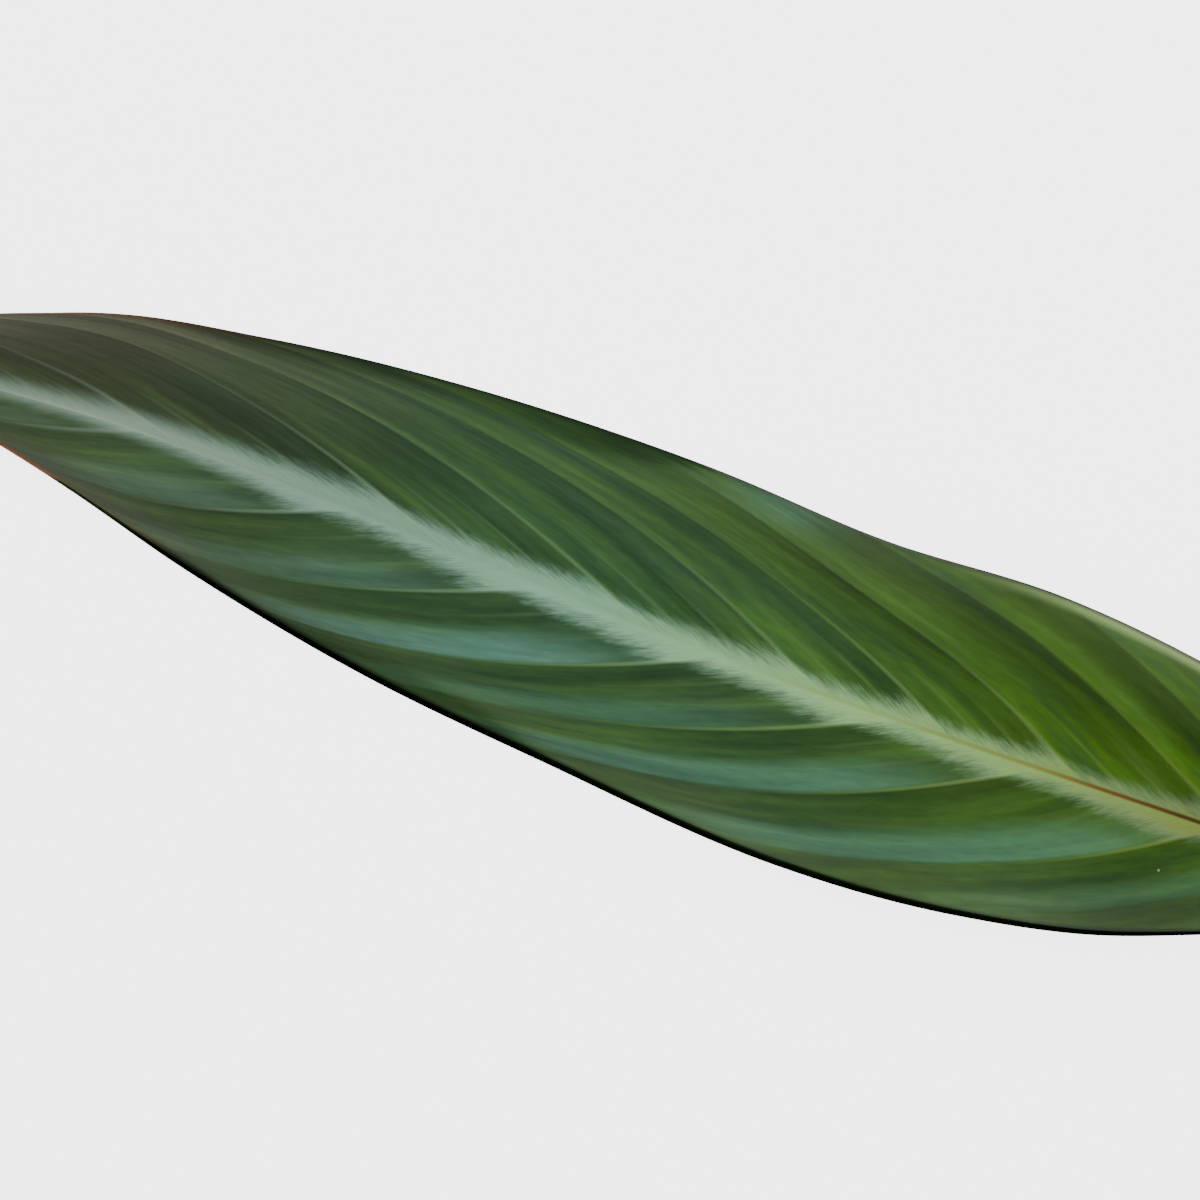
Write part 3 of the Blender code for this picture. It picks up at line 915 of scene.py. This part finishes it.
# %% [markdown]
# ## The cut end
# The knife leaves a clean face: a thin dark rind, and a pale pith with the cut bundles of the veins as dots.
# A boolean could sink the core, but two insets keep the rings clean: the first marks off the rind, and the
# second sinks the core a little, as it dries.

# %% Inset the cut face
RIND = 0.28
CORE_SLOPE = 0.12
CORE_SINK = 0.12
CUT_SLACK = 0.01

bpy.ops.object.mode_set(mode="EDIT")
bpy.ops.mesh.select_all(action="DESELECT")
bpy.ops.object.mode_set(mode="OBJECT")
for face in stalk.data.polygons:
    face.select = face.center.x > (cut_end - CUT_SLACK) * MM
bpy.ops.object.mode_set(mode="EDIT")
bpy.ops.mesh.inset(thickness=RIND * MM)
bpy.ops.mesh.inset(thickness=CORE_SLOPE * MM, depth=-CORE_SINK * MM)
bpy.ops.object.mode_set(mode="OBJECT")
core = [face for face in stalk.data.polygons if face.select]
print("cut face has", len(core), "face of", round(sum(face.area for face in core) / MM**2, 1), "mm2")

# %% [markdown]
# ## Skins of the stalk
# The stalk is green where it was cut, brown at the pulvinus and wine red under the blade, and the strands
# of fibre inside it rib its skin. One flat colour would do from far away, but the change along its length
# is what the eye notices first. So the colour follows the length, the strands are noise drawn out
# lengthwise, and the dots of the pith are a pattern of cells.

# %% Stalk skin, from green at the cut to wine red under the blade
# A living rind over strands of fibre: half matt, with faint ribs lengthwise. The real ribs are too fine to
# show, so they are drawn 0.4 mm wide
FIBRES_PER_MM = 2.6
FIBRE_WAVES_PER_MM = 0.09
FIBRE_RELIEF = 0.12
TINTS_END = 60.0
STALK_TINTS = [
    (0.0, "5d6a34"), (0.34, "65562f"), (0.42, "6d3a24"), (0.53, "5e2a1e"), (0.62, "64283a"), (1.0, "5c2233"),
]

stalk_skin, stalk_shader = new_material("stalk_skin")
object_place = add_node(stalk_skin, "TexCoord").outputs["Object"]
stalk_parts = add_node(stalk_skin, "SeparateXYZ", {"Vector": object_place})
tints_stop = (cut_end - STALK_LENGTH) * MM - TINTS_END * MM
stalk_share = add_node(
    stalk_skin,
    "MapRange",
    {"Value": stalk_parts.outputs["X"], "From Min": cut_end * MM, "From Max": tints_stop},
)
stalk_colour = tints_along(stalk_skin, stalk_share, STALK_TINTS)
fibre_scale = (FIBRE_WAVES_PER_MM / MM, FIBRES_PER_MM / MM, FIBRES_PER_MM / MM)
fibre_place = add_node(stalk_skin, "VectorMath", {0: object_place, 1: fibre_scale}, operation="MULTIPLY")
fibres = add_node(stalk_skin, "TexNoise", {"Vector": fibre_place, "Scale": 1.0, "Detail": 3.0})
fibre_tone = add_node(
    stalk_skin, "MapRange", {"Value": fibres, **NOISE_RANGE, "To Min": 0.72, "To Max": 1.25}
)
stalk_toned = add_node(stalk_skin, "HueSaturation", {"Value": fibre_tone, "Color": stalk_colour})
ribbing = add_node(stalk_skin, "Bump", {"Height": fibres, "Strength": 0.6, "Distance": FIBRE_RELIEF * MM})
feed(stalk_skin, stalk_shader, {"Base Color": stalk_toned, "Normal": ribbing})
feed(stalk_skin, stalk_shader, {"Roughness": 0.5, "IOR": 1.45, "Specular IOR Level": 0.25})
print("stalk skin:", len(stalk_skin.node_tree.nodes), "nodes")

# %% Pith with cut bundles
# Moist, spongy tissue cut clean with a knife: pale and matt, with a darker dot where each bundle is cut
BUNDLES_PER_MM = 1.7
PITH_SLOT = 1

pith, pith_shader = new_material("cut_pith")
pith_place = add_node(pith, "TexCoord").outputs["Object"]
bundles = add_node(
    pith, "TexVoronoi", {"Vector": pith_place, "Scale": BUNDLES_PER_MM / MM, "Randomness": 0.8}
)
bundle_dot = add_node(
    pith, "MapRange", {"Value": bundles, "From Min": 0.34, "From Max": 0.22, "To Max": 0.85}
)
pith_colour = paint(pith, colour("8f9466"), [(bundle_dot, "6b6a3c")])
feed(pith, pith_shader, {"Base Color": pith_colour, "Roughness": 0.7})
for material in (stalk_skin, pith):
    stalk.data.materials.append(material)
for face in core:
    face.material_index = PITH_SLOT
print("pith bundles are about", round(1 / BUNDLES_PER_MM, 2), "mm apart")

# %% [markdown]
# ## Floor, light and camera
# The leaf lies on a plain pale floor, as on a light table. A large soft lamp stands beyond it, where the
# picture's top is, so that the crests of the veins catch the light and their far sides fall dark; a weak one
# opposite opens the shadows. The camera hangs over the leaf and looks straight down.

# %% Pale floor
# Heavy matt paper on a light table: a faint mottle, and a glow of its own that keeps shadows thin
PAPER_FLECKS_PER_MM = 0.9
TABLE_GLOW = 3.6

bpy.ops.object.select_all(action="DESELECT")
bpy.ops.mesh.primitive_plane_add(size=6.0, location=(0, 0, 0))
floor = bpy.context.object
floor.name = "pale_floor"
paper, paper_shader = new_material("pale_paper")
paper_place = add_node(paper, "TexCoord").outputs["Object"]
mottle = add_node(
    paper, "TexNoise", {"Vector": paper_place, "Scale": PAPER_FLECKS_PER_MM / MM, "Detail": 2.0}
)
paper_tone = add_node(paper, "MapRange", {"Value": mottle, "To Min": 0.985, "To Max": 1.0})
paper_colour = add_node(paper, "HueSaturation", {"Value": paper_tone, "Color": colour("f7f7f6")})
feed(paper, paper_shader, {"Base Color": paper_colour, "Roughness": 0.85})
feed(paper, paper_shader, {"Emission Color": colour("ffffff"), "Emission Strength": TABLE_GLOW})
floor.data.materials.append(paper)
print("floor is", [round(size, 1) for size in floor.dimensions], "m")

# %% Camera over the leaf
PICTURE_SIDE = 0.2347
LEAF_TURN = math.radians(19.8)
FIELD_OF_VIEW = math.radians(22.0)

# The height in millimetres at which the picture has its true size, and the plan's point at its middle
LEAF_PLANE = 8.0
PICTURE_MIDDLE = (-53.97, 1.47)

camera_height = PICTURE_SIDE / 2 / math.tan(FIELD_OF_VIEW / 2) + LEAF_PLANE * MM
target = Vector((PICTURE_MIDDLE[0] * MM, (PICTURE_MIDDLE[1] - middle_line) * MM, 0))
bpy.ops.object.camera_add(location=target + Vector((0, 0, camera_height)), rotation=(0, 0, LEAF_TURN))
camera = bpy.context.object
camera.data.type = "PERSP"
camera.data.sensor_width = 36.0
camera.data.angle = FIELD_OF_VIEW
camera.data.clip_end = 20.0
camera.data.dof.use_dof = False
bpy.context.scene.camera = camera
print("camera hangs", round(camera_height, 3), "m over the floor")

# %% Soft studio light
picture_up = Vector((-math.sin(LEAF_TURN), math.cos(LEAF_TURN), 0))
picture_right = Vector((math.cos(LEAF_TURN), math.sin(LEAF_TURN), 0))


def add_lamp(name, up, right, height, size, power, tint):
    """A square soft lamp that faces the leaf, so many metres up and right in the picture and high over it."""
    where = picture_up * up + picture_right * right + Vector((0, 0, height))
    bpy.ops.object.light_add(type="AREA", location=target + where)
    lamp = bpy.context.object
    lamp.name = name
    lamp.rotation_euler = (-where).to_track_quat("-Z", "Y").to_euler()
    lamp.data.size = size
    lamp.data.energy = power
    lamp.data.color = colour(tint)[:3]


add_lamp("window_lamp", up=1.6, right=0.25, height=1.7, size=2.2, power=42.0, tint="f2f7ff")
add_lamp("fill_lamp", up=-1.6, right=0.5, height=1.6, size=1.6, power=11.0, tint="fffaf2")
world = bpy.data.worlds.new("pale_room")
world.use_nodes = True
world.node_tree.nodes["Background"].inputs["Color"].default_value = colour("eef3f6")
world.node_tree.nodes["Background"].inputs["Strength"].default_value = 0.35
bpy.context.scene.world = world

# %% [markdown]
# ## The pieces take the leaf's place
# Both pieces ride on the leaf's one body and stand in for its plain solid, which is hidden.

# %% Bodies, and the plain leaf hidden
for piece in (blade, stalk):
    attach(piece, "root")
    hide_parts("leaf")
